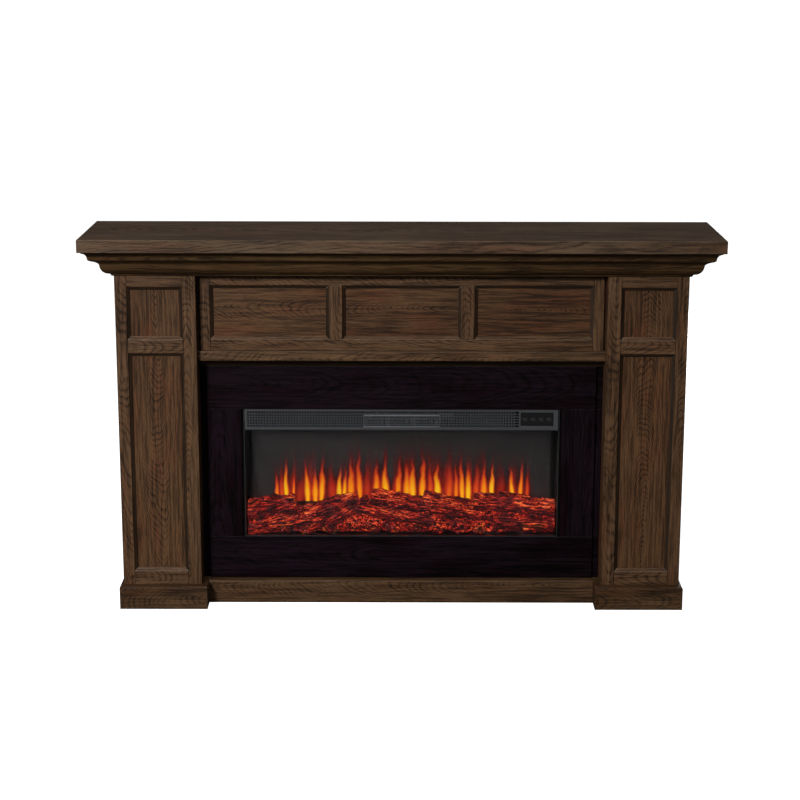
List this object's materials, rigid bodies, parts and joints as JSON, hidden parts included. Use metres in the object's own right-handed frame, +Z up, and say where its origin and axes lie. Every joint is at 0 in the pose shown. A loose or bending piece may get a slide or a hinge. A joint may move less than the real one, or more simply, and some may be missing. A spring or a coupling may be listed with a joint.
{
  "type": "electric fireplace",
  "caption": "Dark oak mantel with panelled pilasters, crown moulding and shelf around a black-framed electric flame and fan heater insert.",
  "frame": {"origin": "on the floor under the middle of the shelf's width and depth", "axes": "+X to the right along the shelf as seen from the front, +Y from the front to the back, +Z up"},
  "size_m": [1.8986, 0.4, 1.1621],
  "materials": {
    "oak_frame": "dark oiled oak, open grain, satin",
    "oak_panel": "dark oiled oak veneer, satin",
    "oak_shelf": "dark oiled oak, satin",
    "oak_crown": "dark oiled oak, satin",
    "oak_board": "dark oak board, matt",
    "ebonised_oak": "black stained oak, satin, open grain",
    "black_steel": "charcoal powder coat",
    "window_glass": "clear tempered glass",
    "gloss_black": "gloss black",
    "matt_black": "matt black",
    "ember_resin": "translucent moulded resin, lit from below",
    "screen_grey": "satin grey projection screen",
    "zinc_steel": "galvanised sheet",
    "aluminium": "bright",
    "circuit_green": "solder mask"
  },
  "bodies": {
    "mantel": {"base_rail": "oak_frame", "blower_housing": "zinc_steel", "blower_motor": "zinc_steel", "control_board": "circuit_green", "control_panel": "gloss_black", "crown_backer": "oak_crown", "crown_front": "oak_crown", "crown_left": "oak_crown", "crown_right": "oak_crown", "ember_led_strip": "circuit_green", "firebox_housing": "black_steel", "flame_screen": "screen_grey", "front_glass": "window_glass", "header_bottom_rail": "oak_frame", "header_left_muntin": "oak_frame", "header_left_stile": "oak_frame", "header_panel": "oak_panel", "header_right_muntin": "oak_frame", "header_right_stile": "oak_frame", "header_top_rail": "oak_frame", "hearth_board": "oak_board", "heater_element": "zinc_steel", "led_strip": "circuit_green", "left_bottom_rail": "oak_frame", "left_inner_panel": "oak_panel", "left_inner_stile": "oak_frame", "left_mid_rail": "oak_frame", "left_outer_stile": "oak_frame", "left_panel": "oak_panel", "left_plinth": "oak_frame", "left_side_panel": "oak_panel", "left_top_rail": "oak_frame", "lintel": "oak_frame", "log_set": "ember_resin", "outlet_louvre": "black_steel", "power_inlet": "matt_black", "rear_stretcher": "oak_board", "right_bottom_rail": "oak_frame", "right_inner_panel": "oak_panel", "right_inner_stile": "oak_frame", "right_mid_rail": "oak_frame", "right_outer_stile": "oak_frame", "right_panel": "oak_panel", "right_plinth": "oak_frame", "right_side_panel": "oak_panel", "right_top_rail": "oak_frame", "spindle_motor": "zinc_steel", "surround_bottom": "ebonised_oak", "surround_left": "ebonised_oak", "surround_right": "ebonised_oak", "surround_top": "ebonised_oak", "top_shelf": "oak_shelf", "vent_grille": "black_steel"},
    "blower_wheel": {"blower_wheel": "aluminium"},
    "flame_spindle": {"flame_spindle": "aluminium"},
    "power_button": {"power_button": "gloss_black"},
    "flame_button": {"flame_button": "gloss_black"},
    "heat_button": {"heat_button": "gloss_black"},
    "timer_button": {"timer_button": "gloss_black"},
    "rocker_switch": {"rocker_switch": "gloss_black"}
  },
  "joints": [
    {"name": "blower_spin", "type": "hinge", "parent": "mantel", "child": "blower_wheel", "pos_m": [0, 0.05905, 0.58039], "axis": [1, 0, 0], "continuous": true},
    {"name": "flame_spin", "type": "hinge", "parent": "mantel", "child": "flame_spindle", "pos_m": [0, 0.10477, 0.2794], "axis": [1, 0, 0], "continuous": true},
    {"name": "power_button_press", "type": "slide", "parent": "mantel", "child": "power_button", "axis": [0, 1, 0], "range_m": [0, 0.001], "stiffness_N_per_m": 400},
    {"name": "flame_button_press", "type": "slide", "parent": "mantel", "child": "flame_button", "axis": [0, 1, 0], "range_m": [0, 0.001], "stiffness_N_per_m": 400},
    {"name": "heat_button_press", "type": "slide", "parent": "mantel", "child": "heat_button", "axis": [0, 1, 0], "range_m": [0, 0.001], "stiffness_N_per_m": 400},
    {"name": "timer_button_press", "type": "slide", "parent": "mantel", "child": "timer_button", "axis": [0, 1, 0], "range_m": [0, 0.001], "stiffness_N_per_m": 400},
    {"name": "rocker_tilt", "type": "hinge", "parent": "mantel", "child": "rocker_switch", "pos_m": [0.40469, 0.14441, 0.58039], "axis": [1, 0, 0], "range_deg": [0, 24]}
  ]
}
